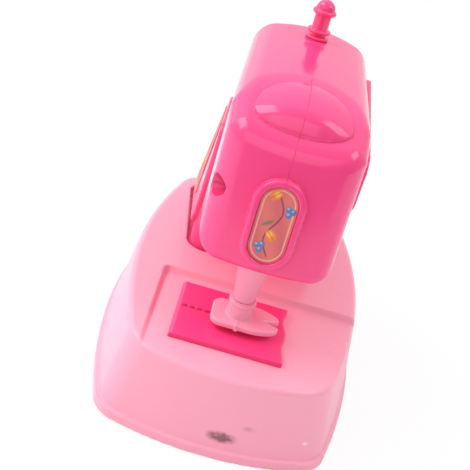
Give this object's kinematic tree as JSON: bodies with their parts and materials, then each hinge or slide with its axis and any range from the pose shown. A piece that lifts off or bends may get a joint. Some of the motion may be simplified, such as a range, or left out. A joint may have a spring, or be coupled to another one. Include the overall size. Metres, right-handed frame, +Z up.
{
  "type": "toy sewing machine",
  "caption": "Pink plastic toy sewing machine: hollow bed with sunk work area, two-shell arm on a column, and a hand wheel whose crank and yoke lift the needle bar and presser foot.",
  "frame": {"origin": "middle of the bed's underside, where the machine stands", "axes": "+X runs along the machine from the needle end to the hand wheel, the operator sits at -Y, +Z is up"},
  "size_m": [0.12, 0.081, 0.1077],
  "materials": {
    "bed_plastic": "gloss",
    "arm_plastic": "gloss",
    "label": "satin",
    "steel": "satin",
    "nylon": "matte"
  },
  "bodies": {
    "machine": {"bed_shell": "bed_plastic", "bed_cover": "bed_plastic", "bed_screws": "steel", "cloth_plate": "arm_plastic", "arm_front_shell": "arm_plastic", "arm_back_shell": "arm_plastic", "arm_screws": "steel", "column_screws": "steel", "spool_pin": "arm_plastic", "end_label": "label", "front_label": "label", "back_label": "label", "needle_guide": "bed_plastic", "front_bush": "nylon", "rear_bush": "nylon"},
    "wheel_train": {"main_shaft": "steel", "crank_disc": "nylon", "crank_pin": "steel", "front_washer": "steel", "rear_washer": "steel", "hand_wheel": "bed_plastic", "wheel_screw": "steel"},
    "needle": {"needle_bar": "bed_plastic", "presser_foot": "bed_plastic", "yoke": "nylon"}
  },
  "joints": [
    {"name": "wheel_turn", "type": "hinge", "parent": "machine", "child": "wheel_train", "pos_m": [0, 0.0008, 0.07], "axis": [1, 0, 0], "range_deg": [0, 180]},
    {"name": "needle_lift", "type": "slide", "parent": "machine", "child": "needle", "axis": [0, 0, 1], "range_m": [0, 0.006]}
  ],
  "couplings": [
    {"joint": "needle_lift", "follows": "wheel_turn", "m_per_rad": 0.0019098}
  ]
}
